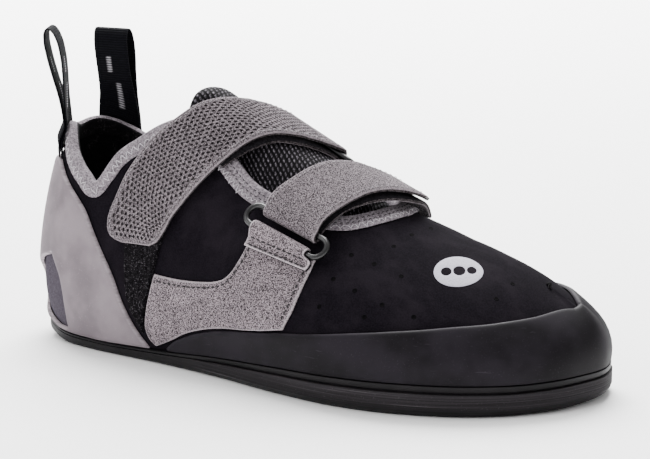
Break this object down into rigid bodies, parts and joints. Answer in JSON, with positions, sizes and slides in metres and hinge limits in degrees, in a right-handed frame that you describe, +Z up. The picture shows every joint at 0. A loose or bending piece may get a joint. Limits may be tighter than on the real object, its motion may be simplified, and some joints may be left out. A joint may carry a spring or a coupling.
{
  "type": "climbing shoe",
  "caption": "Low climbing shoe for the right foot with an open throat, two ring and strap closures, rubber rands at toe and heel, and two heel pull loops.",
  "frame": {"origin": "on the floor, in the middle of the flat spot under the heel", "axes": "+X towards the toe, +Y towards the inner (medial) side of this right shoe, +Z up"},
  "size_m": [0.2674, 0.1018, 0.1359],
  "materials": {
    "rubber_black": "matte, sanded band",
    "rubber_grey": "satin moulded rubber",
    "suede_grey": "napped suede",
    "microsuede_black": "napped microsuede",
    "pile_black": "loop pile",
    "tape_grey": "woven tape",
    "mesh_black": "padded mesh",
    "ring_black": "satin",
    "webbing_black": "woven webbing",
    "insole_grey": "brushed lining"
  },
  "bodies": {
    "root": {"outsole": "rubber_black", "insole": "insole_grey", "upper": "microsuede_black", "tongue": "mesh_black", "toe_rand": "rubber_black", "heel_rand": "rubber_grey", "collar_binding": "tape_grey", "throat_binding": "tape_grey", "lateral_panel": "suede_grey", "medial_panel": "suede_grey", "loop_strip": "pile_black", "upper_strap": "suede_grey", "lower_strap": "suede_grey", "lateral_ring": "ring_black", "medial_ring": "ring_black", "lateral_ring_tab": "suede_grey", "medial_ring_tab": "suede_grey", "pull_loop_lateral": "webbing_black", "pull_loop_medial": "webbing_black"}
  },
  "joints": []
}
